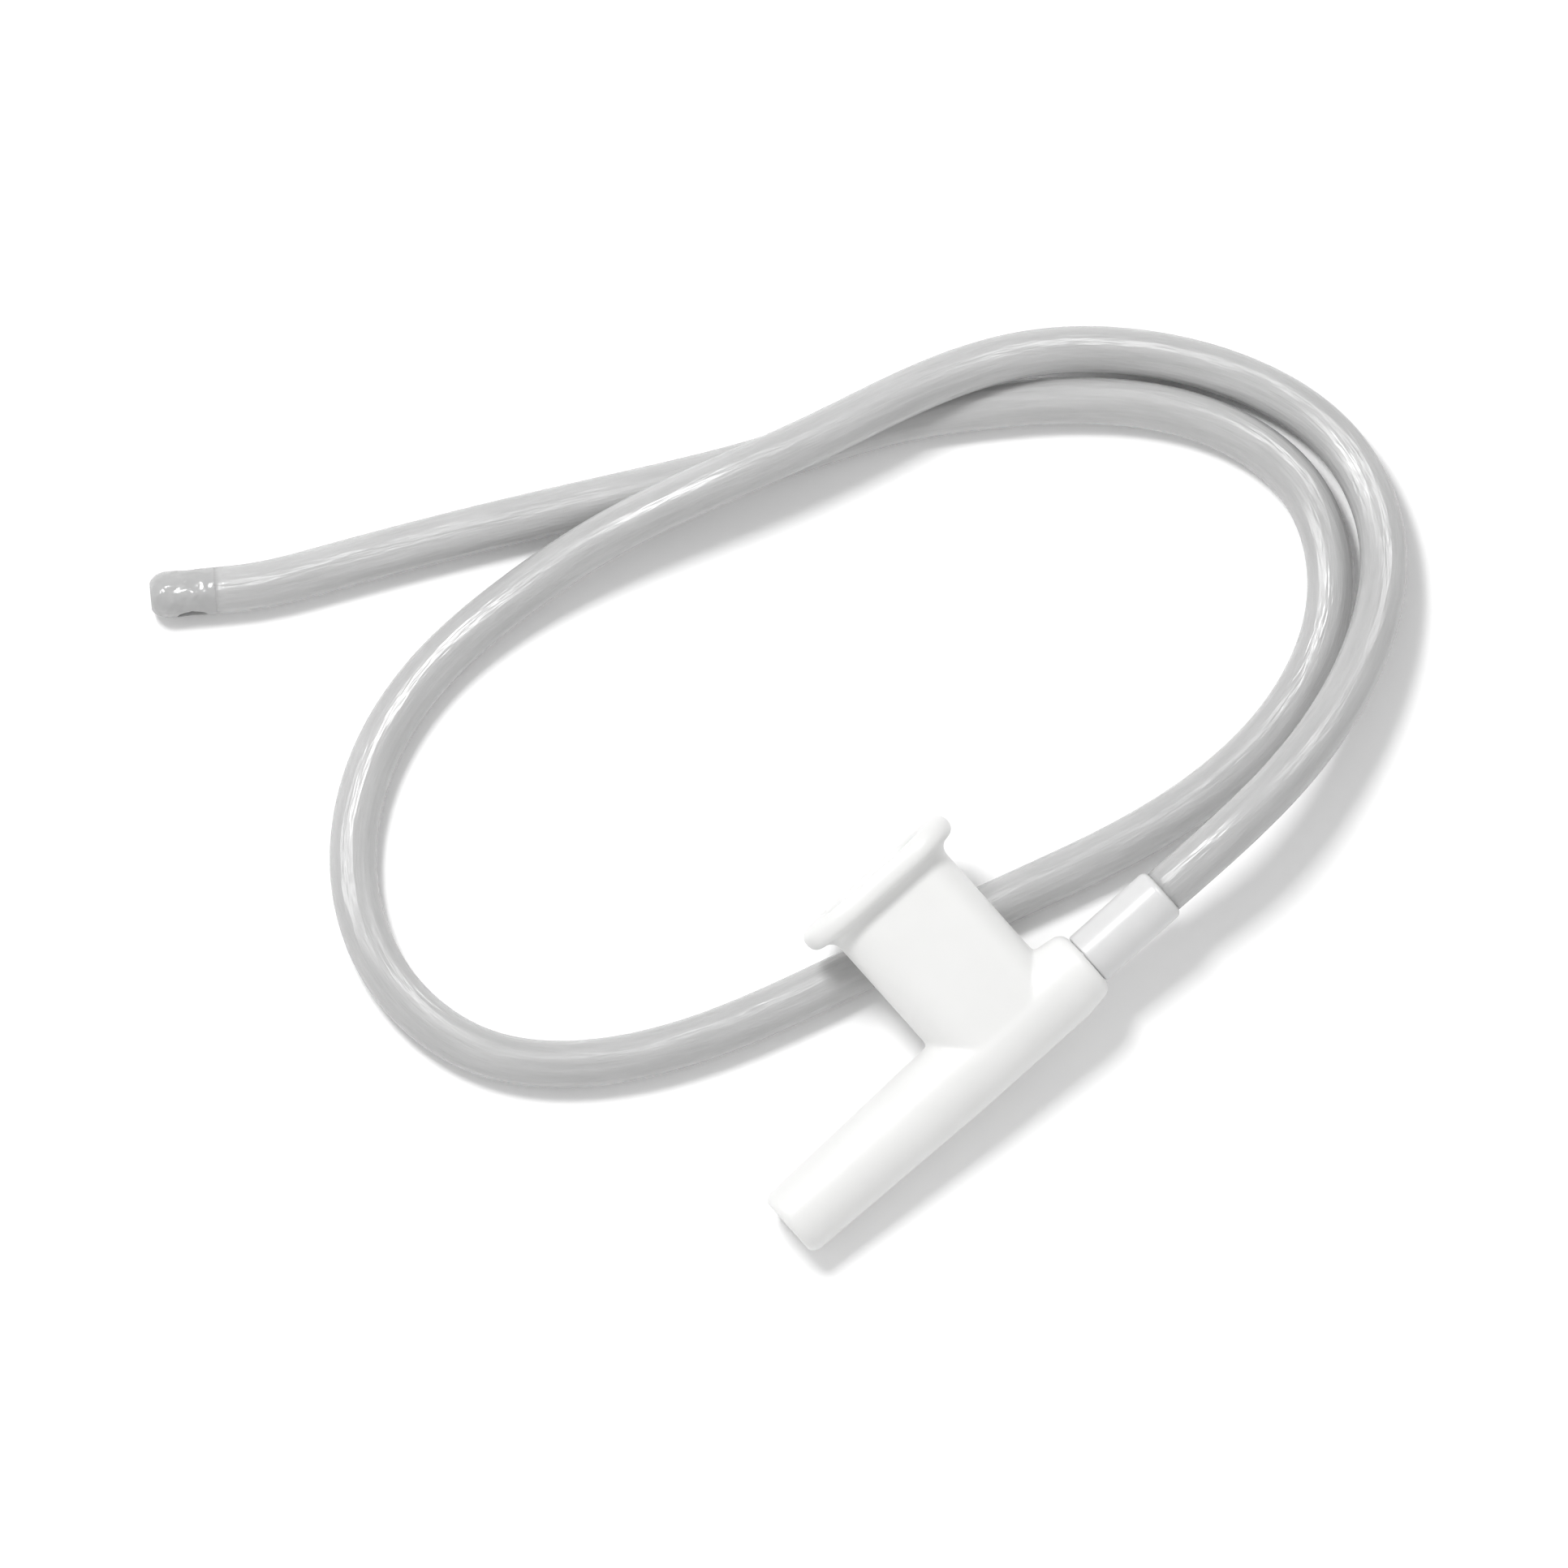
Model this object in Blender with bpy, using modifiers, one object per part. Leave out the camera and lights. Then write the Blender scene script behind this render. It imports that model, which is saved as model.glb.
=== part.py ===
"""A looped suction catheter: a white thumb valve, its coupling sleeve, and one clear tube with a formed tip."""

import math

import bmesh
import bpy
import numpy as np
from mathutils import Matrix, Vector

# All sizes are in metres. X runs along the valve from its suction barrel to the catheter,
# Y towards the thumb port and Z up from the table that the whole object lies on.

# Clearances
SEAT_GAP = 0.0003
REST_GAP = 0.0004

# Catheter, an 18 Fr PVC tube
TUBE_RADIUS = 0.0030
LUMEN_RADIUS = 0.0021
TUBE_POINTS = 74

# Formed tip
TIP_LENGTH = 0.0082
NOSE_ROUND = 0.0024
END_HOLE_RADIUS = 0.0014
END_HOLE_EDGE = 0.0006
THROAT_LENGTH = 0.0022
EYE_LENGTH = 0.0038
EYE_WIDTH = 0.0024
EYE_FROM_NOSE = 0.0054
EYE_TURN = math.radians(100)

# Valve: stations are measured from where the chimney's axis crosses the barrel's
BARREL_LENGTH = 0.0375
BARREL_END_RADIUS = 0.00475
BARREL_ROOT_RADIUS = 0.0054
BARREL_EDGE = 0.0009
BARREL_BORE_RADIUS = 0.0032
BODY_LENGTH = 0.0134
BODY_RADIUS = 0.0050
BODY_SHOULDER = 0.0018

# Thumb chimney: an oblong, flat on two sides and round on the other two
CHIMNEY_HEIGHT = 0.0265
CHIMNEY_RADIUS = 0.0053
CHIMNEY_HALF_FLAT = 0.0037
CHIMNEY_WALL = 0.0014
LIP_OVERHANG = 0.0029
LIP_THICKNESS = 0.0030
LIP_CONE = 0.0014
LIP_EDGE = 0.0012
MOUTH_EDGE = 0.0006

# Coupling sleeve
SLEEVE_RADIUS = 0.0036
SLEEVE_LENGTH = 0.0123
SLEEVE_CHAMFER = 0.0007
SPIGOT_RADIUS = 0.0031
SPIGOT_LENGTH = 0.0066

# Rest pose: the barrel's end is on the table and the chimney leans on the tube that passes under it
VALVE_X = 0.0057
VALVE_Y = -0.0110
BARREL_TILT = math.radians(6.1)
REST_ALONG_BARREL = -0.0037
REST_ALONG_CHIMNEY = 0.0179

# The tube leaves the sleeve straight for this far, then follows these points, in millimetres
TUBE_LEAD = 0.0130
MILLIMETRE = 0.001
ROUTE_MM = [
    (59.9, -8.9, 10.3),
    (73.3, -3.7, 8.0),
    (84.0, 5.6, 5.6),
    (88.4, 19.2, 3.6),
    (84.9, 33.1, 3.0),
    (76.6, 44.9, 3.9),
    (65.3, 53.6, 6.6),
    (52.0, 58.8, 8.9),
    (37.9, 62.5, 9.5),
    (24.0, 66.8, 9.2),
    (10.2, 70.8, 7.3),
    (-3.9, 73.1, 4.4),
    (-18.3, 73.1, 3.1),
    (-32.1, 68.7, 3.0),
    (-43.0, 59.3, 3.0),
    (-48.2, 45.9, 3.0),
    (-45.5, 31.8, 3.0),
    (-35.7, 21.3, 3.0),
    (-22.9, 14.5, 3.0),
    (-9.1, 10.0, 3.0),
    (4.9, 6.1, 3.0),
    (18.9, 2.1, 3.0),
    (32.9, -1.8, 3.0),
    (47.3, -3.9, 3.0),
    (61.7, -2.4, 3.0),
    (74.3, 4.5, 3.0),
    (81.0, 17.2, 3.0),
    (78.3, 31.2, 3.0),
    (69.6, 42.8, 3.0),
    (58.3, 52.0, 3.0),
    (45.9, 59.5, 3.0),
    (32.6, 65.4, 3.0),
    (19.6, 71.9, 3.0),
    (6.8, 78.8, 3.0),
    (-6.1, 85.5, 3.0),
    (-19.1, 91.9, 3.0),
    (-28.0, 96.6, 3.0),
    (-31.7, 99.2, 3.0),
]

# Finishes: colour, roughness and alpha
VALVE_FINISH = ((0.90, 0.90, 0.89), 0.35, 1.0)
SLEEVE_FINISH = ((0.78, 0.79, 0.80), 0.30, 0.85)
TUBE_FINISH = ((0.62, 0.63, 0.64), 0.20, 0.70)
TIP_FINISH = ((0.68, 0.69, 0.70), 0.12, 0.70)

# Drawing
QUARTER = math.radians(90)
TURN_STEPS = 32
TIP_STEPS = 24
TUBE_QUARTER_STEPS = 4
SPLINE_SAMPLES_PER_POINT = 40
ARC_STEPS = 4
CUT_OVERRUN = 0.0020
MERGE_DISTANCE = 1e-6
SHARP_ANGLE = math.radians(35)

# A turned shape is drawn along its own Z, and these lay that axis along the valve's X or Y
ALONG_BARREL = Matrix.Rotation(QUARTER, 4, "Y")
ALONG_CHIMNEY = Matrix.Rotation(-QUARTER, 4, "X")


def clear_scene():
    for thing in list(bpy.data.objects):
        bpy.data.objects.remove(thing, do_unlink=True)


def new_collection(name):
    collection = bpy.data.collections.new(name)
    bpy.context.scene.collection.children.link(collection)
    return collection


def material(name, finish):
    colour, roughness, alpha = finish
    made = bpy.data.materials.new(name)
    made.use_nodes = True
    shader = made.node_tree.nodes["Principled BSDF"]
    shader.inputs["Base Color"].default_value = (*colour, 1.0)
    shader.inputs["Roughness"].default_value = roughness
    shader.inputs["Alpha"].default_value = alpha
    return made


def rounded(station, radius, size, start, end):
    """Profile points of an arc about (station, radius). Its angle is 0 straight out and a quarter at the top."""
    angles = [start + (end - start) * step / ARC_STEPS for step in range(ARC_STEPS + 1)]
    return [(station + size * math.sin(angle), radius + size * math.cos(angle)) for angle in angles]


def applied(part):
    """Puts the part's modifiers into its mesh, and shades it smooth between its sharp edges."""
    bpy.context.view_layer.update()
    graph = bpy.context.evaluated_depsgraph_get()
    part.data = bpy.data.meshes.new_from_object(part.evaluated_get(graph))
    part.modifiers.clear()
    part.data.shade_smooth()
    part.data.set_sharp_from_angle(angle=SHARP_ANGLE)
    return part


def turned(name, collection, profile, steps=TURN_STEPS):
    """A solid turned about Z from (station, radius) points that run down its outer side.

    A profile that starts off the axis is closed on itself, which leaves a bore.
    """
    start = math.pi / steps
    points = [(radius * math.cos(start), radius * math.sin(start), station) for station, radius in profile]
    edges = [(index, index + 1) for index in range(len(points) - 1)]
    if profile[0][1] > 0:
        edges.append((len(points) - 1, 0))
    mesh = bpy.data.meshes.new(name)
    mesh.from_pydata(points, edges, [])
    part = bpy.data.objects.new(name, mesh)
    collection.objects.link(part)
    screw = part.modifiers.new("Turn", "SCREW")
    screw.steps = steps
    screw.render_steps = steps
    screw.use_merge_vertices = True
    screw.merge_threshold = MERGE_DISTANCE
    return applied(part)


def oblong(name, collection, profile):
    """A turned shape drawn out along X: its two halves move apart, which leaves flat sides between them."""
    part = turned(name, collection, profile)
    for vertex in part.data.vertices:
        if abs(vertex.co.x) > MERGE_DISTANCE:
            vertex.co.x += math.copysign(CHIMNEY_HALF_FLAT, vertex.co.x)
    return part


def hidden(cutter):
    cutter.hide_render = True
    cutter.display_type = "WIRE"
    return cutter


def combine(part, other, operation):
    boolean = part.modifiers.new(other.name, "BOOLEAN")
    boolean.operation = operation
    boolean.object = hidden(other)


def place(part, parent, matrix):
    part.parent = parent
    part.matrix_local = matrix


def valve_roll():
    """The turn about the barrel that lays the chimney's flat side on the tube under it."""
    rest_height = valve_height() + REST_ALONG_BARREL * math.tan(BARREL_TILT) - TUBE_RADIUS
    reach = CHIMNEY_RADIUS + TUBE_RADIUS + REST_GAP
    distance = math.hypot(rest_height, REST_ALONG_CHIMNEY)
    return math.asin(reach / distance) - math.atan2(rest_height, REST_ALONG_CHIMNEY)


def valve_height():
    """How high the crossing of the valve's axes is, with the barrel's rounded end on the table."""
    along = BARREL_LENGTH - BARREL_EDGE
    across = BARREL_END_RADIUS - BARREL_EDGE
    return along * math.sin(BARREL_TILT) + across * math.cos(BARREL_TILT) + BARREL_EDGE


def valve_matrix():
    place_of_crossing = Matrix.Translation((VALVE_X, VALVE_Y, valve_height()))
    tilt = Matrix.Rotation(-BARREL_TILT, 4, "Y")
    roll = Matrix.Rotation(valve_roll(), 4, "X")
    return place_of_crossing @ tilt @ roll


def new_frame(name, collection, matrix):
    frame = bpy.data.objects.new(name, None)
    collection.objects.link(frame)
    frame.matrix_world = matrix
    return frame


def barrel_profile():
    """The barrel and body as one turned outline: shoulder, root under the chimney, taper and rounded end."""
    side = CHIMNEY_HALF_FLAT + CHIMNEY_RADIUS
    shoulder_station = BODY_LENGTH - BODY_SHOULDER
    end_station = BARREL_EDGE - BARREL_LENGTH
    return [
        (BODY_LENGTH, 0),
        *rounded(shoulder_station, BODY_RADIUS - BODY_SHOULDER, BODY_SHOULDER, QUARTER, 0),
        (side, BARREL_ROOT_RADIUS),
        (-side, BARREL_ROOT_RADIUS),
        *rounded(end_station, BARREL_END_RADIUS - BARREL_EDGE, BARREL_EDGE, 0, -QUARTER),
        (-BARREL_LENGTH, 0),
    ]


def chimney_profile():
    rim_radius = CHIMNEY_RADIUS + LIP_OVERHANG - LIP_EDGE
    underside = CHIMNEY_HEIGHT - LIP_THICKNESS
    return [
        (CHIMNEY_HEIGHT, 0),
        *rounded(CHIMNEY_HEIGHT - LIP_EDGE, rim_radius, LIP_EDGE, QUARTER, 0),
        *rounded(underside + LIP_EDGE, rim_radius, LIP_EDGE, 0, -QUARTER),
        (underside, CHIMNEY_RADIUS + LIP_CONE),
        (underside - LIP_CONE, CHIMNEY_RADIUS),
        (0, CHIMNEY_RADIUS),
        (0, 0),
    ]


def cavity_profile():
    cavity_radius = CHIMNEY_RADIUS - CHIMNEY_WALL
    return [
        (CHIMNEY_HEIGHT + CUT_OVERRUN, 0),
        (CHIMNEY_HEIGHT + CUT_OVERRUN, cavity_radius + MOUTH_EDGE),
        (CHIMNEY_HEIGHT, cavity_radius + MOUTH_EDGE),
        (CHIMNEY_HEIGHT - MOUTH_EDGE, cavity_radius),
        (0, cavity_radius),
        (0, 0),
    ]


def bore_profile():
    """The way through the valve: the catheter's socket, then the barrel's bore."""
    seat = BODY_LENGTH - SPIGOT_LENGTH - SEAT_GAP
    return [
        (BODY_LENGTH + CUT_OVERRUN, 0),
        (BODY_LENGTH + CUT_OVERRUN, SPIGOT_RADIUS + SEAT_GAP),
        (seat, SPIGOT_RADIUS + SEAT_GAP),
        (seat, BARREL_BORE_RADIUS),
        (-BARREL_LENGTH - CUT_OVERRUN, BARREL_BORE_RADIUS),
        (-BARREL_LENGTH - CUT_OVERRUN, 0),
    ]


def valve_body(parts, cutters, frame):
    """One moulding: the barrel and chimney joined, then hollowed by the thumb cavity and the bore."""
    body = turned("valve_body", parts, barrel_profile())
    chimney = oblong("chimney_shape", cutters, chimney_profile())
    cavity = oblong("thumb_cavity", cutters, cavity_profile())
    bore = turned("valve_bore", cutters, bore_profile())
    place(body, frame, ALONG_BARREL)
    place(chimney, frame, ALONG_CHIMNEY)
    place(cavity, frame, ALONG_CHIMNEY)
    place(bore, frame, ALONG_BARREL)
    combine(body, chimney, "UNION")
    combine(body, cavity, "DIFFERENCE")
    combine(body, bore, "DIFFERENCE")
    applied(body)
    body.data.materials.clear()
    body.data.materials.append(material("white_valve_plastic", VALVE_FINISH))


def sleeve_start():
    return BODY_LENGTH + SEAT_GAP


def catheter_sleeve(parts, frame):
    """The sleeve's collar sits on the body's end face, and its spigot fills the socket behind that face."""
    near = sleeve_start()
    far = near + SLEEVE_LENGTH
    spigot_end = BODY_LENGTH - SPIGOT_LENGTH
    profile = [
        (far, LUMEN_RADIUS),
        (far, SLEEVE_RADIUS - SLEEVE_CHAMFER),
        (far - SLEEVE_CHAMFER, SLEEVE_RADIUS),
        (near, SLEEVE_RADIUS),
        (near, SPIGOT_RADIUS),
        (spigot_end, SPIGOT_RADIUS),
        (spigot_end, LUMEN_RADIUS),
    ]
    sleeve = turned("catheter_sleeve", parts, profile)
    place(sleeve, frame, ALONG_BARREL)
    sleeve.data.materials.append(material("clear_sleeve_vinyl", SLEEVE_FINISH))


def smooth_points(route, count):
    """Even points along the natural cubic spline through the route's own points."""
    last = len(route) - 1
    span = np.linalg.norm(np.diff(route, axis=0), axis=1)
    knots = np.concatenate([[0.0], np.cumsum(span)])
    system = np.eye(len(route))
    load = np.zeros_like(route)
    for index in range(1, last):
        before, after = span[index - 1], span[index]
        system[index, index - 1:index + 2] = before, 2 * (before + after), after
        load[index] = 6 * ((route[index + 1] - route[index]) / after - (route[index] - route[index - 1]) / before)
    curve = np.linalg.solve(system, load)
    samples = np.linspace(0, knots[-1], SPLINE_SAMPLES_PER_POINT * count)
    index = np.clip(np.searchsorted(knots, samples, side="right") - 1, 0, last - 1)
    width = span[index][:, None]
    passed = (samples - knots[index])[:, None]
    left = width - passed
    bend = (curve[index] * left**3 + curve[index + 1] * passed**3) / (6 * width)
    start = (route[index] / width - curve[index] * width / 6) * left
    end = (route[index + 1] / width - curve[index + 1] * width / 6) * passed
    fine = bend + start + end
    run = np.concatenate([[0.0], np.cumsum(np.linalg.norm(np.diff(fine, axis=0), axis=1))])
    even = np.linspace(0, run[-1], count)
    return np.column_stack([np.interp(even, run, fine[:, axis]) for axis in range(3)])


def tube_points():
    """The tube's centreline, from the sleeve's face to the tip. It lies on the table and never sinks into it."""
    valve = valve_matrix()
    exit_station = sleeve_start() + SLEEVE_LENGTH + SEAT_GAP
    leaving = [valve @ Vector((exit_station + run, 0, 0)) for run in (0, TUBE_LEAD)]
    laid = [Vector(point) * MILLIMETRE for point in ROUTE_MM]
    points = smooth_points(np.array(leaving + laid), TUBE_POINTS)
    points[:, 2] = np.maximum(points[:, 2], TUBE_RADIUS)
    return [Vector(point) for point in points]


def catheter_tube(parts, points):
    curve = bpy.data.curves.new("catheter_tube", "CURVE")
    curve.dimensions = "3D"
    curve.bevel_depth = TUBE_RADIUS
    curve.bevel_resolution = TUBE_QUARTER_STEPS
    curve.use_fill_caps = True
    spline = curve.splines.new("POLY")
    spline.points.add(len(points) - 1)
    for control, point in zip(spline.points, points):
        control.co = (*point, 1.0)
    tube = bpy.data.objects.new("catheter_tube", curve)
    parts.objects.link(tube)
    curve.materials.append(material("clear_tube_vinyl", TUBE_FINISH))


def nose_profile():
    """The tip's outside, from its domed nose down to the tube's end."""
    dome_station = TIP_LENGTH - NOSE_ROUND
    return [
        (TIP_LENGTH, 0),
        *rounded(dome_station, TUBE_RADIUS - NOSE_ROUND, NOSE_ROUND, QUARTER, 0),
        (0, TUBE_RADIUS),
        (0, 0),
    ]


def lumen_profile():
    """The tube's lumen, which narrows in a throat to the hole in the nose."""
    throat = TIP_LENGTH - THROAT_LENGTH
    return [
        (TIP_LENGTH + CUT_OVERRUN, 0),
        (TIP_LENGTH + CUT_OVERRUN, END_HOLE_RADIUS),
        (TIP_LENGTH - END_HOLE_EDGE, END_HOLE_RADIUS),
        (throat, LUMEN_RADIUS),
        (-CUT_OVERRUN, LUMEN_RADIUS),
        (-CUT_OVERRUN, 0),
    ]


def eye_cutter(cutters, frame, name, turn):
    """An oval punch that points out of the tip's side, turned about the tip from straight up."""
    mesh = bpy.data.meshes.new(name)
    shape = bmesh.new()
    depth = TUBE_RADIUS + CUT_OVERRUN
    oval = Matrix.Diagonal((EYE_WIDTH / 2, EYE_LENGTH / 2, depth, 1.0))
    bmesh.ops.create_cone(
        shape, cap_ends=True, segments=TIP_STEPS, radius1=1.0, radius2=1.0, depth=1.0, matrix=oval
    )
    shape.to_mesh(mesh)
    shape.free()
    punch = bpy.data.objects.new(name, mesh)
    cutters.objects.link(punch)
    station = Matrix.Translation((0, 0, TIP_LENGTH - EYE_FROM_NOSE))
    aim = Matrix.Rotation(turn, 4, "Z") @ Matrix.Rotation(-QUARTER, 4, "X")
    outwards = Matrix.Translation((0, 0, depth / 2))
    place(punch, frame, station @ aim @ outwards)
    return punch


def catheter_tip(parts, cutters, points):
    """The heat-formed end: a domed nose with an end hole, and an eye in each of its sides."""
    direction = (points[-1] - points[-2]).normalized()
    start = points[-1] + direction * SEAT_GAP
    aim = direction.to_track_quat("Z", "Y").to_matrix().to_4x4()
    frame = new_frame("tip_frame", parts, Matrix.Translation(start) @ aim)
    tip = turned("catheter_tip", parts, nose_profile(), TIP_STEPS)
    lumen = turned("tip_lumen", cutters, lumen_profile(), TIP_STEPS)
    place(tip, frame, Matrix.Identity(4))
    place(lumen, frame, Matrix.Identity(4))
    combine(tip, lumen, "DIFFERENCE")
    for name, turn in (("first_eye", EYE_TURN), ("second_eye", EYE_TURN + math.pi)):
        combine(tip, eye_cutter(cutters, frame, name, turn), "DIFFERENCE")
    applied(tip)
    tip.data.materials.clear()
    tip.data.materials.append(material("clear_tip_vinyl", TIP_FINISH))


def main():
    clear_scene()
    parts = new_collection("looped_suction_catheter")
    cutters = new_collection("cutters")
    frame = new_frame("valve_frame", parts, valve_matrix())
    valve_body(parts, cutters, frame)
    catheter_sleeve(parts, frame)
    points = tube_points()
    catheter_tube(parts, points)
    catheter_tip(parts, cutters, points)


main()
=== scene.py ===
"""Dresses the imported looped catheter: its white valve, coupling sleeve, clear tube and formed tip."""

import math

import bmesh
import bpy
import numpy as np
from mathutils import Matrix, Vector


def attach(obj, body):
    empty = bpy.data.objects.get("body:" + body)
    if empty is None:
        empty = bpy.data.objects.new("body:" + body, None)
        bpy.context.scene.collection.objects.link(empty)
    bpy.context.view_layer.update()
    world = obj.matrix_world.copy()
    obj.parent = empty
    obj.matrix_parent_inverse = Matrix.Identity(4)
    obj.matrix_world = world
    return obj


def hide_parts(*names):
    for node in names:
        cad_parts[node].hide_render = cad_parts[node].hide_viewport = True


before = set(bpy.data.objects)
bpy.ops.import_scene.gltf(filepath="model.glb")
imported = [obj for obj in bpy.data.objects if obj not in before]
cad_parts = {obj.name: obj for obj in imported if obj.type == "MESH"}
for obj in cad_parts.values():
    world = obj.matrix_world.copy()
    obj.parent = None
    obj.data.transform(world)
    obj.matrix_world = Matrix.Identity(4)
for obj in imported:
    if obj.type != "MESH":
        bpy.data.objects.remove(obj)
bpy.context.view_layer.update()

bl_info = {
    "name": "Looped Suction Catheter",
    "version": (1, 0, 0),
    "blender": (4, 5, 0),
    "location": "View3D > Sidebar > Catheter",
    "description": "Builds a suction catheter with its thumb valve, sleeve, clear tube and formed tip",
    "category": "Add Mesh",
}

BODY = "root"
MILLIMETRE = 0.001
QUARTER = math.radians(90)

# Points round a turned shape, and round a side eye
TURNED_POINTS = 96
EYE_POINTS = 48

# Steps in a rounded edge, points along the hollow curve under the lip, and points along the mouth's flare
ARC_STEPS = 10
HOLLOW_POINTS = 9
FLARE_POINTS = 7

# The tube's line is first worked out this many times finer than its rings lie
LINE_FINENESS = 10

# Rounds of softening on the valve's skin and on the tip's
VALVE_SOFTENING = 7
TIP_SOFTENING = 2

# The sleeve's edges are sharp where its faces turn by more than this
SLEEVE_SHARP_ANGLE = math.radians(40)

# How far the cutting shapes go beyond what they cut
BORE_OVERRUN = 0.002
CAVITY_OVERRUN = 0.003
EYE_PUNCH_REACH = 0.005

# The bore's open end is wider by the first length, and narrows over the second
BORE_MOUTH_WIDENING = 0.0004
BORE_MOUTH_DEPTH = 0.0005

# What the camera aims at, what the lights aim at and from how far, and the strength of the light all round
CAMERA_AIM = Vector((0.0061, 0.0324, 0.003))
LIGHT_AIM = Vector((0.02, 0.04, 0))
LIGHT_DISTANCE = 0.9
WORLD_STRENGTH = 0.66

# Half of the table's width, and how far the table is under the object
TABLE_HALF_WIDTH = 1.5
TABLE_DROP = 0.00005

# The numbered sockets of a colour mix node
MIX_FACTOR = 0
MIX_FIRST_COLOUR = 6
MIX_SECOND_COLOUR = 7
MIX_RESULT = 2

# The valve's place in the row: X along its barrel, Y along its chimney
VALVE_CROSSING = Vector((0.0057, -0.0110, 0.008617))
BARREL_TILT = math.radians(6.1)
VALVE_ROLL = math.radians(11.549)
VALVE_PLACE = (
    Matrix.Translation(VALVE_CROSSING)
    @ Matrix.Rotation(-BARREL_TILT, 4, "Y")
    @ Matrix.Rotation(VALVE_ROLL, 4, "X")
)

# The tube leaves the sleeve at this station of the barrel's axis, and runs straight for the lead
TUBE_EXIT = 0.0263
TUBE_LEAD = 0.0130
TUBE_LENGTH = 0.552

# The tip's frame stands this far off the tube's end, as in the CAD
TIP_SEAT = 0.0003

# The tip's skin starts this far inside the tube's end, which narrows the groove between them
TIP_LAP = 0.0002

# Where the tube then lies, in millimetres
ROUTE_MM = [
    (59.9, -8.9, 10.3),
    (73.3, -3.7, 8.0),
    (84.0, 5.6, 5.6),
    (88.4, 19.2, 3.6),
    (84.9, 33.1, 3.0),
    (76.6, 44.9, 3.9),
    (65.3, 53.6, 6.6),
    (52.0, 58.8, 8.9),
    (37.9, 62.5, 9.5),
    (24.0, 66.8, 9.2),
    (10.2, 70.8, 7.3),
    (-3.9, 73.1, 4.4),
    (-18.3, 73.1, 3.1),
    (-32.1, 68.7, 3.0),
    (-43.0, 59.3, 3.0),
    (-48.2, 45.9, 3.0),
    (-45.5, 31.8, 3.0),
    (-35.7, 21.3, 3.0),
    (-22.9, 14.5, 3.0),
    (-9.1, 10.0, 3.0),
    (4.9, 6.1, 3.0),
    (18.9, 2.1, 3.0),
    (32.9, -1.8, 3.0),
    (47.3, -3.9, 3.0),
    (61.7, -2.4, 3.0),
    (74.3, 4.5, 3.0),
    (81.0, 17.2, 3.0),
    (78.3, 31.2, 3.0),
    (69.6, 42.8, 3.0),
    (58.3, 52.0, 3.0),
    (45.9, 59.5, 3.0),
    (32.6, 65.4, 3.0),
    (19.6, 71.9, 3.0),
    (6.8, 78.8, 3.0),
    (-6.1, 85.5, 3.0),
    (-19.1, 91.9, 3.0),
    (-28.0, 96.6, 3.0),
    (-31.7, 99.2, 3.0),
]


def linear(code):
    """An sRGB hex colour as the linear red, green and blue that Blender shades with."""
    shares = [int(code[start:start + 2], 16) / 255 for start in (1, 3, 5)]
    return [share / 12.92 if share <= 0.04045 else ((share + 0.055) / 1.055) ** 2.4 for share in shares]


def length_property(name, description, default):
    """A length in metres."""
    return bpy.props.FloatProperty(
        name=name, description=description, default=default, min=0.0001, subtype="DISTANCE", unit="LENGTH",
        precision=5,
    )


def colour_property(name, description, code):
    """A colour, from its sRGB hex code."""
    return bpy.props.FloatVectorProperty(
        name=name, description=description, default=linear(code), size=3, min=0.0, max=1.0, subtype="COLOR"
    )


class CatheterValveSettings(bpy.types.PropertyGroup):
    barrel_length: length_property("Barrel length", "From the chimney's axis to the open end", 0.0375)
    barrel_end_radius: length_property("Barrel end radius", "Where suction tubing first goes on", 0.00475)
    barrel_root_radius: length_property("Barrel root radius", "Where the barrel meets the chimney", 0.0054)
    barrel_edge: length_property("Barrel edge", "Rounding of the barrel's open end", 0.0015)
    bore_radius: length_property("Bore radius", "The way through the barrel", 0.0032)
    body_length: length_property("Body length", "From the chimney's axis to the sleeve", 0.0134)
    body_radius: length_property("Body radius", "The body between the chimney and the sleeve", 0.0050)
    body_shoulder: length_property("Body shoulder", "Rounding of the body next to the sleeve", 0.0018)
    chimney_height: length_property("Chimney height", "From the barrel's axis to the rim", 0.0265)
    chimney_radius: length_property("Chimney radius", "The round sides of the oblong chimney", 0.0053)
    chimney_half_flat: length_property("Chimney half flat", "Half of the flat between the sides", 0.0037)
    chimney_wall: length_property("Chimney wall", "Thickness of the chimney's wall", 0.0014)
    lip_overhang: length_property("Lip overhang", "How far the lip stands out from the chimney", 0.0029)
    lip_thickness: length_property("Lip thickness", "Thickness of the lip at its rim", 0.0030)
    lip_edge: length_property("Lip edge", "Rounding of the lip's rim", 0.0013)
    lip_fillet: length_property("Lip fillet", "Hollow curve from the chimney to the lip", 0.0016)
    mouth_edge: length_property("Mouth edge", "Rounding of the thumb opening", 0.0006)
    skin: length_property("Skin", "Spacing of the points on the moulded skin", 0.00027)
    colour: colour_property("Colour", "The white of the moulding", "#ECECEB")


class CatheterSleeveSettings(bpy.types.PropertyGroup):
    radius: length_property("Radius", "Outside of the sleeve", 0.0036)
    start: length_property("Start", "Station of the face against the body", 0.0134)
    edge: length_property("Edge", "Rounding of the sleeve's far end", 0.0009)
    spigot_radius: length_property("Spigot radius", "The part bonded inside the body", 0.0031)
    spigot_length: length_property("Spigot length", "How deep the sleeve goes into the body", 0.0066)
    colour: colour_property("Colour", "Tint of the sleeve", "#EAEAEA")


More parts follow.
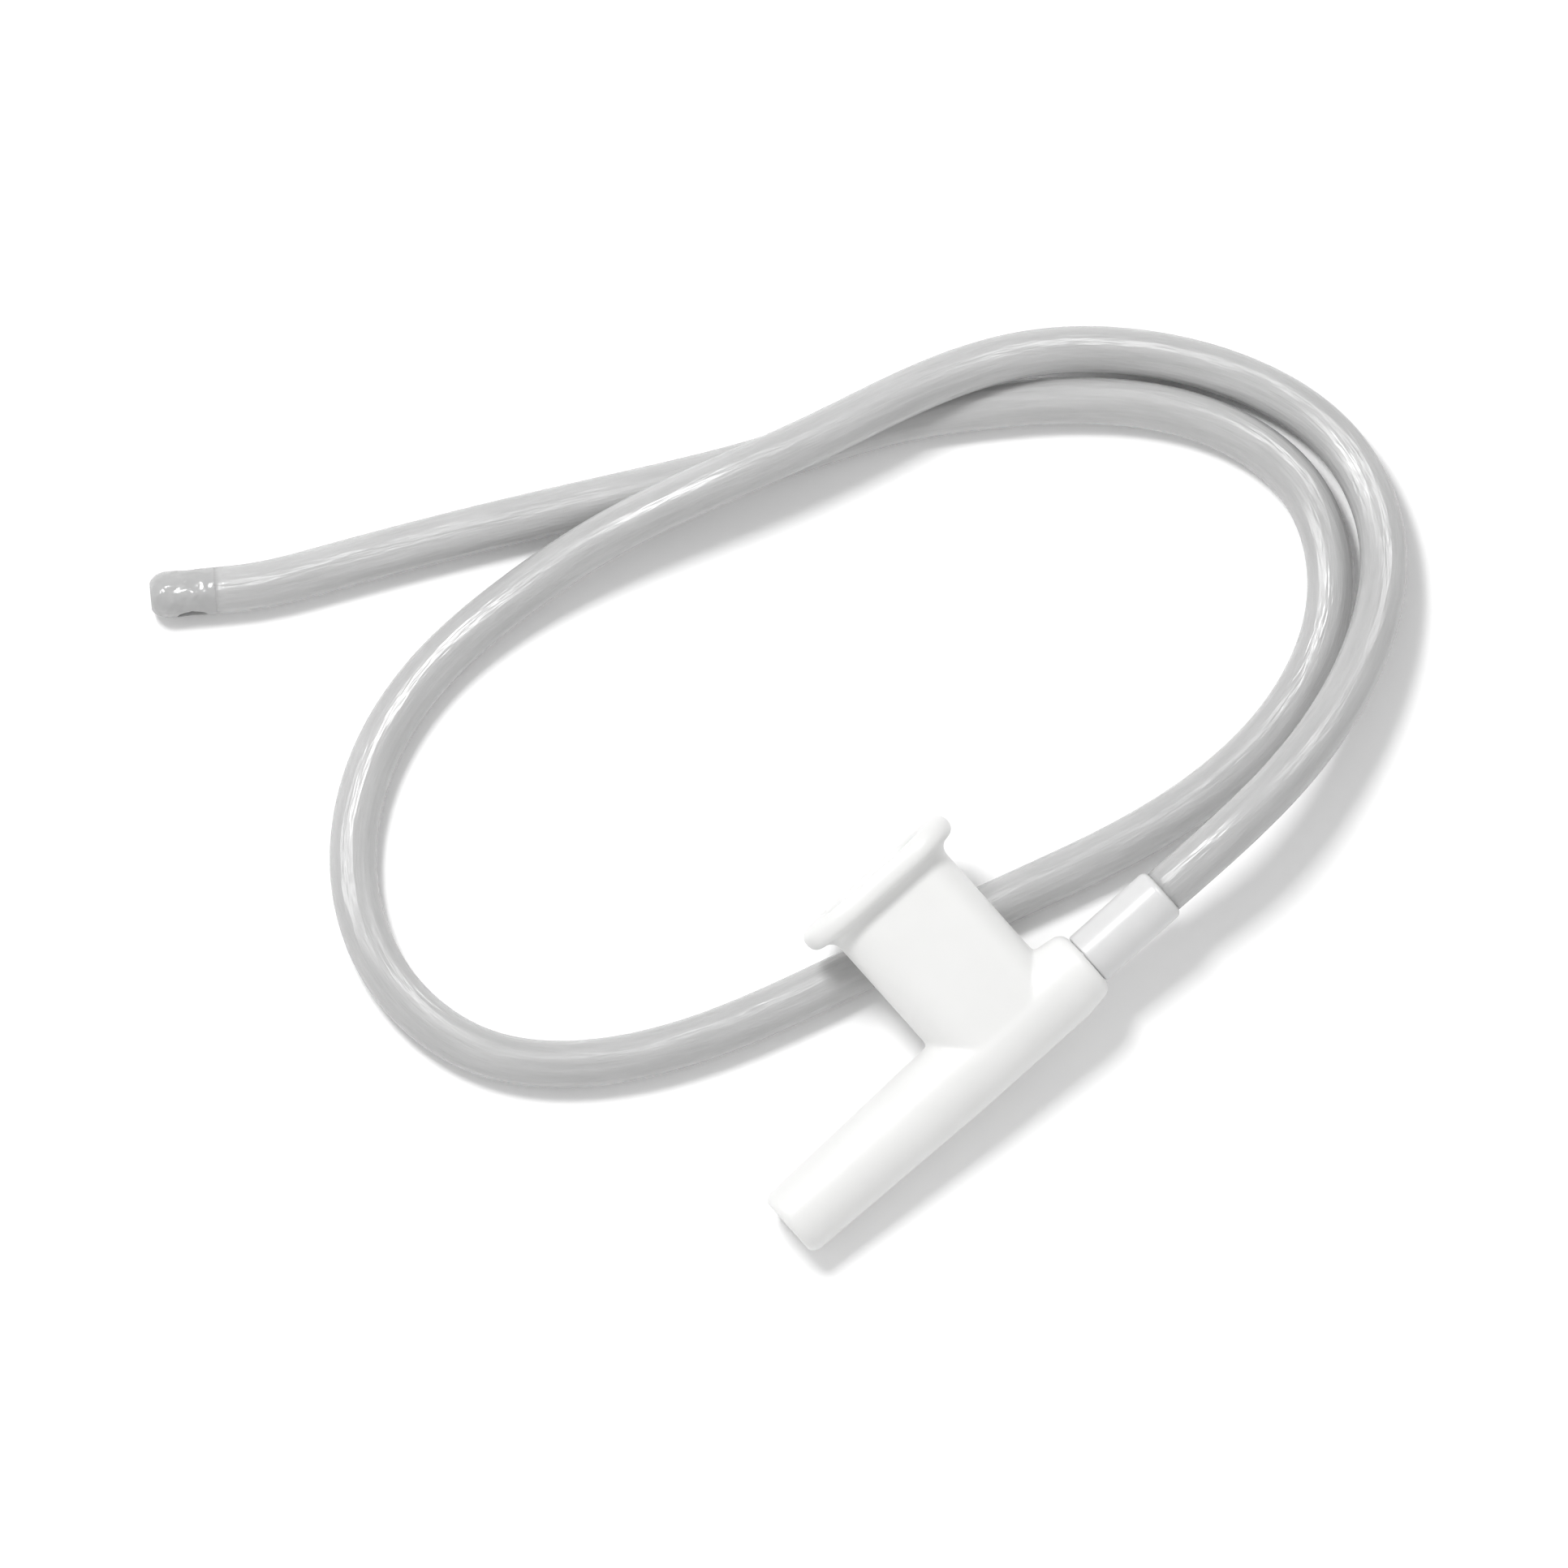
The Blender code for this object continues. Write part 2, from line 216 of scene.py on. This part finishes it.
class CatheterTubeSettings(bpy.types.PropertyGroup):
    radius: length_property("Radius", "Outside of the tube, 18 Fr", 0.0030)
    lumen_radius: length_property("Lumen radius", "Inside of the tube", 0.0021)
    ring_spacing: length_property("Ring spacing", "Between the rings of points along the tube", 0.0013)
    sides: bpy.props.IntProperty(name="Sides", description="Points round the tube", default=40, min=8, max=96)
    colour: colour_property("Colour", "Tint of the tube", "#C6C6C6")


class CatheterTipSettings(bpy.types.PropertyGroup):
    length: length_property("Length", "From the tube's end to the nose", 0.0082)
    nose_round: length_property("Nose round", "Radius of the domed nose", 0.0024)
    hole_radius: length_property("Hole radius", "The opening in the nose", 0.0014)
    hole_edge: length_property("Hole edge", "Rounding of the opening in the nose", 0.0003)
    throat: length_property("Throat", "Where the lumen narrows to the opening", 0.0022)
    eye_length: length_property("Eye length", "Side eye, along the tip", 0.0038)
    eye_width: length_property("Eye width", "Side eye, round the tip", 0.0024)
    eye_from_nose: length_property("Eye from nose", "From the nose to the eye's middle", 0.0054)
    eye_turn: bpy.props.FloatProperty(
        name="Eye turn", description="Turn of the first eye from straight up", default=math.radians(100),
        subtype="ANGLE",
    )
    skin: length_property("Skin", "Spacing of the points on the tip's skin", 0.00010)
    colour: colour_property("Colour", "Tint of the tip", "#CECECE")


class CatheterStageSettings(bpy.types.PropertyGroup):
    floor_colour: colour_property("Floor colour", "The pale table", "#FFFFFF")
    camera_azimuth: bpy.props.FloatProperty(
        name="Camera azimuth", description="Turn of the camera round the object", default=math.radians(-41.4),
        subtype="ANGLE",
    )
    camera_elevation: bpy.props.FloatProperty(
        name="Camera elevation", description="Angle of the camera over the table", default=math.radians(79.0),
        subtype="ANGLE",
    )
    camera_distance: length_property("Camera distance", "From the camera to what it aims at", 2.4)
    frame_width: length_property("Frame width", "How much of the table the picture takes in", 0.1994)


def shown(name, mesh, place=None):
    """A new object for a mesh, at a place in the row."""
    part = bpy.data.objects.new(name, mesh)
    bpy.context.scene.collection.objects.link(part)
    if place is not None:
        part.matrix_world = place
    return part


def loft(name, rings, looped=False):
    """A skin through rings of equally many points. Its ends are capped, or looped to each other."""
    count = len(rings[0])
    shape = bmesh.new()
    rows = [[shape.verts.new(point) for point in ring] for ring in rings]
    pairs = list(zip(rows, rows[1:]))
    if looped:
        pairs.append((rows[-1], rows[0]))
    else:
        shape.faces.new(rows[0])
        shape.faces.new(rows[-1])
    for row, after in pairs:
        for side in range(count):
            ahead = (side + 1) % count
            shape.faces.new((row[side], row[ahead], after[ahead], after[side]))
    bmesh.ops.recalc_face_normals(shape, faces=shape.faces)
    mesh = bpy.data.meshes.new(name)
    shape.to_mesh(mesh)
    shape.free()
    mesh.shade_smooth()
    return mesh


def arc(station, radius, size, start, end):
    """Profile points of an arc about (station, radius).

    The angle is 0 straight out, and turns towards greater stations.
    """
    angles = [start + (end - start) * step / ARC_STEPS for step in range(ARC_STEPS + 1)]
    return [(station + size * math.sin(angle), radius + size * math.cos(angle)) for angle in angles]


def round_rings(profile):
    """Rings about X for (station, radius) points."""
    turns = [math.tau * step / TURNED_POINTS for step in range(TURNED_POINTS)]
    circle = [(math.cos(turn), math.sin(turn)) for turn in turns]
    return [
        [(station, radius * across, radius * over) for across, over in circle]
        for station, radius in profile
    ]


def oblong_rings(profile, half_flat):
    """Rings about Y for (station, radius) points, drawn out along X into flat sides."""
    turns = [math.tau * (step + 0.5) / TURNED_POINTS for step in range(TURNED_POINTS)]
    circle = [(math.cos(turn), math.sin(turn)) for turn in turns]
    return [
        [
            (radius * across + math.copysign(half_flat, across), station, radius * over)
            for across, over in circle
        ]
        for station, radius in profile
    ]


def combine(part, mesh, place, operation):
    """Joins a mesh to the part or cuts it out of it."""
    other = shown("tool_" + mesh.name, mesh, place)
    boolean = part.modifiers.new(other.name, "BOOLEAN")
    boolean.operation = operation
    boolean.object = other
    settle(part)
    bpy.data.objects.remove(other)


def settle(part):
    """Puts the part's modifiers into its mesh."""
    bpy.context.view_layer.update()
    graph = bpy.context.evaluated_depsgraph_get()
    part.data = bpy.data.meshes.new_from_object(part.evaluated_get(graph))
    part.modifiers.clear()


def moulded_skin(part, spacing, softening):
    """Draws the part again as one even skin, whose corners are soft as on a moulding."""
    skin = part.modifiers.new("Skin", "REMESH")
    skin.mode = "VOXEL"
    skin.voxel_size = spacing
    skin.use_smooth_shade = True
    soft = part.modifiers.new("Soften", "SMOOTH")
    soft.factor = 0.5
    soft.iterations = softening
    settle(part)
    part.data.shade_smooth()


def finished(part, material, node):
    """Gives the part its material and its place in the record, and hides the CAD node that it stands for."""
    part.data.transform(part.matrix_world)
    part.matrix_world = Matrix.Identity(4)
    part.data.materials.clear()
    part.data.materials.append(material)
    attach(part, BODY)
    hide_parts(node)


def add_node(tree, kind, values, links, **options):
    """Adds a shader node with its options, the values on its sockets, and the links into it."""
    node = tree.nodes.new(kind)
    for name, value in options.items():
        setattr(node, name, value)
    for socket, value in values.items():
        node.inputs[socket].default_value = value
    for socket, source in links.items():
        tree.links.new(source, node.inputs[socket])
    return node


def new_material(name):
    """An empty node material, its node tree and its output node."""
    material = bpy.data.materials.new(name)
    material.use_nodes = True
    material.node_tree.nodes.clear()
    return material, material.node_tree, material.node_tree.nodes.new("ShaderNodeOutputMaterial")


def pattern(tree, place, millimetres, values):
    """Noise whose cells are this many millimetres wide."""
    return add_node(
        tree, "ShaderNodeTexNoise", {"Scale": 1 / (millimetres * MILLIMETRE), **values}, {"Vector": place}
    )


def tone_and_painted_light(tree, noise, colour, darkest, lightest=1.0):
    """The colour between two shades of itself, as the noise says. The shades are shares of the colour. On the
    valve and the sleeve it is their own tone. On the tube and the tip it follows their relief as painted
    shade, and on the tube also as painted highlight.
    """
    first, second = ([*(channel * share for channel in colour), 1] for share in (darkest, lightest))
    mix = add_node(
        tree, "ShaderNodeMix", {MIX_FIRST_COLOUR: first, MIX_SECOND_COLOUR: second},
        {MIX_FACTOR: noise.outputs["Fac"]}, data_type="RGBA",
    )
    return mix.outputs[MIX_RESULT]


def relief(tree, noise, strength, depth):
    """Bumps that follow the noise, of this depth in metres at full strength."""
    bump = add_node(
        tree, "ShaderNodeBump", {"Strength": strength, "Distance": depth}, {"Height": noise.outputs["Fac"]}
    )
    return bump.outputs["Normal"]


def surfaced(tree, output, values, links):
    """Puts a principled shader with these values and links on the material's output."""
    shader = add_node(tree, "ShaderNodeBsdfPrincipled", values, links)
    tree.links.new(shader.outputs["BSDF"], output.inputs["Surface"])


def moulded_polyethylene(colour):
    """Injection-moulded polyethylene: a soft, slightly waxy white, satin from the mould's fine texture."""
    material, tree, output = new_material("moulded_polyethylene")
    place = add_node(tree, "ShaderNodeTexCoord", {}, {}).outputs["Object"]
    flow = pattern(tree, place, 9, {"Detail": 3.0, "Roughness": 0.5})
    tone_and_painted_light_colour = tone_and_painted_light(tree, flow, colour, 0.94)
    gloss = add_node(
        tree, "ShaderNodeMapRange", {"From Min": 0.3, "From Max": 0.7, "To Min": 0.34, "To Max": 0.46},
        {"Value": flow.outputs["Fac"]},
    )
    grain = pattern(tree, place, 0.4, {"Detail": 2.0, "Roughness": 0.6})
    normal = relief(tree, grain, 0.25, 0.00002)
    surfaced(
        tree, output,
        {
            "IOR": 1.51, "Subsurface Weight": 0.25, "Subsurface Scale": 0.001,
            "Subsurface Radius": (1.0, 1.0, 0.95),
        },
        {"Base Color": tone_and_painted_light_colour, "Roughness": gloss.outputs["Result"], "Normal": normal},
    )
    return material


def dipped_vinyl(colour):
    """Dip-moulded plasticised PVC: a milky sleeve that light passes into, with a soft gloss."""
    material, tree, output = new_material("dipped_vinyl")
    place = add_node(tree, "ShaderNodeTexCoord", {}, {}).outputs["Object"]
    cloud = pattern(tree, place, 3, {"Detail": 3.0, "Roughness": 0.5})
    tone_and_painted_light_colour = tone_and_painted_light(tree, cloud, colour, 0.93)
    normal = relief(tree, cloud, 0.2, 0.00005)
    surfaced(
        tree, output,
        {
            "IOR": 1.53, "Roughness": 0.28, "Transmission Weight": 0.15, "Subsurface Weight": 0.4,
            "Subsurface Scale": 0.002, "Subsurface Radius": (1.0, 1.0, 1.0),
        },
        {"Base Color": tone_and_painted_light_colour, "Normal": normal},
    )
    return material


def extruded_vinyl(colour):
    """Extruded plasticised PVC: milky grey. Die lines, ten times longer than wide, break up its gloss. Its
    colour follows the lines too: partly their own tone, partly painted shade in their hollows and painted
    highlight streaks on their ridges.
    """
    material, tree, output = new_material("extruded_vinyl")
    place = add_node(tree, "ShaderNodeAttribute", {}, {}, attribute_name="straightened")
    drawn = add_node(
        tree, "ShaderNodeVectorMath", {1: (1.0, 1.0, 0.1)}, {0: place.outputs["Vector"]}, operation="MULTIPLY"
    )
    lines = pattern(tree, drawn.outputs["Vector"], 1.4, {"Detail": 3.0, "Roughness": 0.6})
    # The lines' own tone, with painted shade in their hollows and painted highlight streaks on their ridges
    tone_and_painted_light_colour = tone_and_painted_light(tree, lines, colour, 0.8, 1.16)
    normal = relief(tree, lines, 1.0, 0.0003)
    surfaced(
        tree, output,
        {
            "IOR": 1.53, "Roughness": 0.27, "Transmission Weight": 0.12, "Subsurface Weight": 0.8,
            "Subsurface Scale": 0.003, "Subsurface Radius": (1.0, 1.0, 1.0),
        },
        {"Base Color": tone_and_painted_light_colour, "Normal": normal},
    )
    return material


def heat_polished_vinyl(colour):
    """The tube's PVC, melted and polished in a glass mould: clearer and glossier, with small ripples. Its
    colour is darker in the ripples' hollows: painted shade.
    """
    material, tree, output = new_material("heat_polished_vinyl")
    place = add_node(tree, "ShaderNodeTexCoord", {}, {}).outputs["Object"]
    ripple = pattern(tree, place, 1.9, {"Detail": 1.0, "Roughness": 0.4, "Distortion": 0.3})
    # Painted shade: darker in the ripples' hollows
    tone_and_painted_light_colour = tone_and_painted_light(tree, ripple, colour, 0.82)
    normal = relief(tree, ripple, 0.8, 0.0006)
    surfaced(
        tree, output, {"IOR": 1.53, "Roughness": 0.16, "Transmission Weight": 0.3},
        {"Base Color": tone_and_painted_light_colour, "Normal": normal},
    )
    return material


def studio_paper(colour):
    """Matt seamless paper: even and white, with a faint grain of fibres."""
    material, tree, output = new_material("studio_paper")
    place = add_node(tree, "ShaderNodeTexCoord", {}, {}).outputs["Object"]
    fibres = pattern(tree, place, 0.6, {"Detail": 2.0})
    normal = relief(tree, fibres, 0.05, 0.00002)
    surfaced(
        tree, output, {"Base Color": [*colour, 1], "Roughness": 0.9, "Specular IOR Level": 0.1},
        {"Normal": normal},
    )
    return material


def smooth_points(route, count):
    """Even points along the natural cubic spline through the route's own points."""
    last = len(route) - 1
    span = np.linalg.norm(np.diff(route, axis=0), axis=1)
    knots = np.concatenate([[0.0], np.cumsum(span)])
    system = np.eye(len(route))
    load = np.zeros_like(route)
    for index in range(1, last):
        before, after = span[index - 1], span[index]
        system[index, index - 1:index + 2] = before, 2 * (before + after), after
        slope_before = (route[index] - route[index - 1]) / before
        slope_after = (route[index + 1] - route[index]) / after
        load[index] = 6 * (slope_after - slope_before)
    curve = np.linalg.solve(system, load)
    samples = np.linspace(0, knots[-1], LINE_FINENESS * count)
    index = np.clip(np.searchsorted(knots, samples, side="right") - 1, 0, last - 1)
    width = span[index][:, None]
    passed = (samples - knots[index])[:, None]
    left = width - passed
    bend = (curve[index] * left**3 + curve[index + 1] * passed**3) / (6 * width)
    start = (route[index] / width - curve[index] * width / 6) * left
    end = (route[index + 1] / width - curve[index + 1] * width / 6) * passed
    fine = bend + start + end
    run = np.concatenate([[0.0], np.cumsum(np.linalg.norm(np.diff(fine, axis=0), axis=1))])
    even = np.linspace(0, run[-1], count)
    return np.column_stack([np.interp(even, run, fine[:, axis]) for axis in range(3)])


def tube_line(spacing, radius):
    """The tube's centreline, from the sleeve's face to the tip. It never sinks into the table."""
    leaving = [VALVE_PLACE @ Vector((TUBE_EXIT + run, 0, 0)) for run in (0, TUBE_LEAD)]
    laid = [Vector(point) * MILLIMETRE for point in ROUTE_MM]
    points = smooth_points(np.array(leaving + laid), round(TUBE_LENGTH / spacing))
    points[:, 2] = np.maximum(points[:, 2], radius)
    return [Vector(point) for point in points]


def carried_frames(points):
    """At each point the tube's direction and a side and up that turn as little as they can on the way."""
    frames = []
    up = Vector((0, 0, 1))
    for index in range(len(points)):
        before, after = points[max(index - 1, 0)], points[min(index + 1, len(points) - 1)]
        direction = (after - before).normalized()
        side = direction.cross(up).normalized()
        up = side.cross(direction)
        frames.append((direction, side, up))
    return frames


def tube_mesh(points, radius, lumen_radius, sides):
    """The tube's wall, outside and in, with its place on the straightened tube kept for its material."""
    frames = carried_frames(points)
    turns = [math.tau * step / sides for step in range(sides)]
    circle = [(math.sin(turn), math.cos(turn)) for turn in turns]
    walls = [(radius, range(len(points))), (lumen_radius, reversed(range(len(points))))]
    rings = []
    places = []
    spacing = TUBE_LENGTH / (len(points) - 1)
    for size, order in walls:
        for index in order:
            _, side, up = frames[index]
            rings.append([points[index] + size * (across * side + over * up) for across, over in circle])
            places += [(size * across, size * over, index * spacing) for across, over in circle]
    mesh = loft("catheter_tube_wall", rings, looped=True)
    straightened = mesh.attributes.new("straightened", "FLOAT_VECTOR", "POINT")
    straightened.data.foreach_set("vector", np.array(places, np.float32).ravel())
    return mesh


def barrel_profile(valve):
    """The outline of the barrel and the body, from the open end to the sleeve."""
    side = valve.chimney_half_flat + valve.chimney_radius
    end = valve.barrel_edge - valve.barrel_length
    shoulder = valve.body_length - valve.body_shoulder
    return [
        *arc(end, valve.barrel_end_radius - valve.barrel_edge, valve.barrel_edge, -QUARTER, 0),
        (-side, valve.barrel_root_radius),
        (side, valve.barrel_root_radius),
        *arc(shoulder, valve.body_radius - valve.body_shoulder, valve.body_shoulder, 0, QUARTER),
    ]


def chimney_profile(valve):
    """The chimney's outline from the barrel's axis up to the rim, with the hollow curve under its lip."""
    wall = valve.chimney_radius
    underside = valve.chimney_height - valve.lip_thickness
    fillet = valve.lip_fillet
    rim = wall + valve.lip_overhang - valve.lip_edge
    hollow = [
        (underside - fillet + fillet * math.sin(turn), wall + fillet - fillet * math.cos(turn))
        for turn in np.linspace(0, QUARTER, HOLLOW_POINTS)
    ]
    return [
        (0, wall),
        *hollow,
        *arc(underside + valve.lip_edge, rim, valve.lip_edge, -QUARTER, 0),
        *arc(valve.chimney_height - valve.lip_edge, rim, valve.lip_edge, 0, QUARTER),
    ]


def cavity_profile(valve):
    """The thumb port's hollow, whose mouth is rounded outwards."""
    wall = valve.chimney_radius - valve.chimney_wall
    mouth = valve.chimney_height - valve.mouth_edge
    flare = [
        (mouth + valve.mouth_edge * math.sin(turn), wall + valve.mouth_edge * (1 - math.cos(turn)))
        for turn in np.linspace(0, QUARTER, FLARE_POINTS)
    ]
    beyond = (mouth + CAVITY_OVERRUN, wall + valve.mouth_edge)
    return [(0, wall - valve.mouth_edge), (valve.mouth_edge, wall), *flare, beyond]


def bore_profile(valve):
    """The way through the barrel and the body, a little wider at the barrel's open end."""
    near = -valve.barrel_length
    mouth_radius = valve.bore_radius + BORE_MOUTH_WIDENING
    return [
        (near - BORE_OVERRUN, mouth_radius),
        (near, mouth_radius),
        (near + BORE_MOUTH_DEPTH, valve.bore_radius),
        (valve.body_length + BORE_OVERRUN, valve.bore_radius),
    ]


def valve_piece(valve):
    """The white moulding: barrel, body and chimney in one, hollowed by the thumb port and the bore."""
    part = shown("thumb_valve", loft("thumb_valve", round_rings(barrel_profile(valve))), VALVE_PLACE)
    chimney = loft("chimney", oblong_rings(chimney_profile(valve), valve.chimney_half_flat))
    cavity = loft("cavity", oblong_rings(cavity_profile(valve), valve.chimney_half_flat))
    bore = loft("bore", round_rings(bore_profile(valve)))
    combine(part, chimney, VALVE_PLACE, "UNION")
    combine(part, cavity, VALVE_PLACE, "DIFFERENCE")
    combine(part, bore, VALVE_PLACE, "DIFFERENCE")
    moulded_skin(part, valve.skin, VALVE_SOFTENING)
    finished(part, moulded_polyethylene(valve.colour), "valve_body")


def sleeve_piece(sleeve, tube):
    """The milky sleeve from the body to where the tube comes out, with its spigot inside the body."""
    near = sleeve.start
    far = TUBE_EXIT
    spigot_end = near - sleeve.spigot_length
    small = sleeve.edge / 3
    profile = [
        (far, tube.lumen_radius),
        (far, tube.radius),
        *arc(far - sleeve.edge, sleeve.radius - sleeve.edge, sleeve.edge, QUARTER, 0),
        *arc(near + small, sleeve.radius - small, small, 0, -QUARTER),
        (near, sleeve.spigot_radius),
        (spigot_end, sleeve.spigot_radius),
        (spigot_end, tube.lumen_radius),
    ]
    part = shown("coupling_sleeve", loft("coupling_sleeve", round_rings(profile), looped=True), VALVE_PLACE)
    part.data.set_sharp_from_angle(angle=SLEEVE_SHARP_ANGLE)
    finished(part, dipped_vinyl(sleeve.colour), "catheter_sleeve")


def tip_place(points):
    """The tip's frame: X along the tube's end, Z up."""
    direction, side, up = carried_frames(points)[-1]
    axes = Matrix((direction, -side, up)).transposed().to_4x4()
    return Matrix.Translation(points[-1] + direction * TIP_SEAT) @ axes


def eye_place(place, tip, turn):
    """An eye's frame: Z straight out of the tip's side."""
    station = Matrix.Translation((tip.length - tip.eye_from_nose, 0, 0))
    return place @ station @ Matrix.Rotation(turn, 4, "X")


def tip_piece(tip, tube, points):
    """The heat-formed end of the tube: a domed nose with its opening, and an oval eye in each side."""
    place = tip_place(points)
    dome = tip.length - tip.nose_round
    throat = tip.length - tip.throat
    rim = tip.hole_radius + tip.hole_edge
    dome_end = math.acos((rim - tube.radius + tip.nose_round) / tip.nose_round)
    rim_station = dome + tip.nose_round * math.sin(dome_end)
    profile = [
        (-TIP_SEAT - TIP_LAP, tube.lumen_radius),
        (-TIP_SEAT - TIP_LAP, tube.radius),
        *arc(dome, tube.radius - tip.nose_round, tip.nose_round, 0, dome_end),
        (rim_station - tip.hole_edge / 3, tip.hole_radius + tip.hole_edge / 3),
        (rim_station - tip.hole_edge, tip.hole_radius),
        (throat, tube.lumen_radius),
    ]
    part = shown("formed_tip", loft("formed_tip", round_rings(profile), looped=True), place)
    turns = [math.tau * step / EYE_POINTS for step in range(EYE_POINTS)]
    oval = [(tip.eye_length / 2 * math.cos(turn), tip.eye_width / 2 * math.sin(turn)) for turn in turns]
    for turn in (-tip.eye_turn, math.pi - tip.eye_turn):
        punch = loft("eye", [[(*point, height) for point in oval] for height in (0, EYE_PUNCH_REACH)])
        combine(part, punch, eye_place(place, tip, turn), "DIFFERENCE")
    moulded_skin(part, tip.skin, TIP_SOFTENING)
    finished(part, heat_polished_vinyl(tip.colour), "catheter_tip")
    return part


def seen_from(azimuth, elevation):
    """The direction from the object to a camera or light. Azimuth 0 is on the -Y side and a quarter on +X."""
    level = math.cos(elevation)
    return Vector((math.sin(azimuth) * level, -math.cos(azimuth) * level, math.sin(elevation)))


def aimed(thing, name, target, azimuth, elevation, distance):
    """A camera or light that looks at the target from a direction."""
    made = bpy.data.objects.new(name, thing)
    bpy.context.scene.collection.objects.link(made)
    back = seen_from(azimuth, elevation)
    made.location = target + back * distance
    made.rotation_mode = "QUATERNION"
    made.rotation_quaternion = (-back).to_track_quat("-Z", "Y")
    return made


def softbox(name, azimuth, elevation, size, power):
    """A square studio light over the table, aimed at the middle of the loops. Its angles are in degrees."""
    light = bpy.data.lights.new(name, "AREA")
    light.shape = "SQUARE"
    light.size = size
    light.energy = power
    return aimed(light, name, LIGHT_AIM, math.radians(azimuth), math.radians(elevation), LIGHT_DISTANCE)


def white_world():
    """Even white light from all round."""
    world = bpy.data.worlds.new("white_studio")
    world.use_nodes = True
    background = world.node_tree.nodes["Background"]
    background.inputs["Color"].default_value = (1.0, 1.0, 1.0, 1.0)
    background.inputs["Strength"].default_value = WORLD_STRENGTH
    return world


def table_piece(colour):
    """A wide flat table, a hair under the object."""
    half = TABLE_HALF_WIDTH
    mesh = bpy.data.meshes.new("table")
    corners = [(-half, -half, 0), (half, -half, 0), (-half, half, 0), (half, half, 0)]
    mesh.from_pydata(corners, [], [(0, 1, 3, 2)])
    table = shown("table", mesh, Matrix.Translation((0, 0, -TABLE_DROP)))
    mesh.materials.append(studio_paper(colour))


class CATHETER_OT_stage(bpy.types.Operator):
    """Set up the pale table, the soft lights and the camera"""

    bl_idname = "catheter.stage"
    bl_label = "Stage"

    def execute(self, context):
        stage = context.scene.catheter_stage
        camera = bpy.data.cameras.new("photo_camera")
        camera.lens = camera.sensor_width * stage.camera_distance / stage.frame_width
        context.scene.camera = aimed(
            camera, "photo_camera", CAMERA_AIM, stage.camera_azimuth, stage.camera_elevation,
            stage.camera_distance,
        )
        softbox("key_softbox", 184, 66, size=0.20, power=4.8)
        for name, azimuth, elevation in (("right_strip", 103, 48), ("left_strip", 219, 44)):
            strip = softbox(name, azimuth, elevation, size=0.30, power=3.2)
            strip.visible_diffuse = False
        context.scene.view_settings.view_transform = "Standard"
        context.scene.world = white_world()
        table_piece(stage.floor_colour)
        return {"FINISHED"}


class CATHETER_OT_tube(bpy.types.Operator):
    """Add the clear tube in its loops, with its formed tip on the end"""

    bl_idname = "catheter.tube"
    bl_label = "Tube and Tip"

    def execute(self, context):
        tube = context.scene.catheter_tube
        points = tube_line(tube.ring_spacing, tube.radius)
        part = shown("clear_tube", tube_mesh(points, tube.radius, tube.lumen_radius, tube.sides))
        finished(part, extruded_vinyl(tube.colour), "catheter_tube")
        tip = tip_piece(context.scene.catheter_tip, tube, points)
        return {"FINISHED"}


class CATHETER_OT_valve(bpy.types.Operator):
    """Add the white thumb valve"""

    bl_idname = "catheter.valve"
    bl_label = "Thumb Valve"

    def execute(self, context):
        valve_piece(context.scene.catheter_valve)
        return {"FINISHED"}


class CATHETER_OT_sleeve(bpy.types.Operator):
    """Add the sleeve that joins the tube to the valve"""

    bl_idname = "catheter.sleeve"
    bl_label = "Coupling Sleeve"

    def execute(self, context):
        sleeve_piece(context.scene.catheter_sleeve, context.scene.catheter_tube)
        return {"FINISHED"}


class CATHETER_PT_pieces(bpy.types.Panel):
    """Lists the pieces of the catheter and their sizes"""

    bl_idname = "CATHETER_PT_pieces"
    bl_label = "Looped Catheter"
    bl_space_type = "VIEW_3D"
    bl_region_type = "UI"
    bl_category = "Catheter"

    def draw(self, context):
        for operator, group in STEPS:
            box = self.layout.box()
            box.operator(operator.bl_idname)
            for owner in group:
                settings = getattr(context.scene, owner)
                for name in SETTINGS[owner].__annotations__:
                    box.prop(settings, name)


SETTINGS = {
    "catheter_stage": CatheterStageSettings,
    "catheter_tube": CatheterTubeSettings,
    "catheter_tip": CatheterTipSettings,
    "catheter_valve": CatheterValveSettings,
    "catheter_sleeve": CatheterSleeveSettings,
}
STEPS = [
    (CATHETER_OT_stage, ["catheter_stage"]),
    (CATHETER_OT_tube, ["catheter_tube", "catheter_tip"]),
    (CATHETER_OT_valve, ["catheter_valve"]),
    (CATHETER_OT_sleeve, ["catheter_sleeve"]),
]


def register():
    """Registers the settings, the operators and the panel."""
    for owner, settings in SETTINGS.items():
        bpy.utils.register_class(settings)
        setattr(bpy.types.Scene, owner, bpy.props.PointerProperty(type=settings))
    for operator, _ in STEPS:
        bpy.utils.register_class(operator)
    bpy.utils.register_class(CATHETER_PT_pieces)


def unregister():
    """Takes away all that register added."""
    bpy.utils.unregister_class(CATHETER_PT_pieces)
    for operator, _ in reversed(STEPS):
        bpy.utils.unregister_class(operator)
    for owner, settings in SETTINGS.items():
        delattr(bpy.types.Scene, owner)
        bpy.utils.unregister_class(settings)


def main():
    """Builds the stage and every piece."""
    register()
    bpy.ops.catheter.stage()
    bpy.ops.catheter.tube()
    bpy.ops.catheter.valve()
    bpy.ops.catheter.sleeve()


if __name__ == "__main__":
    main()
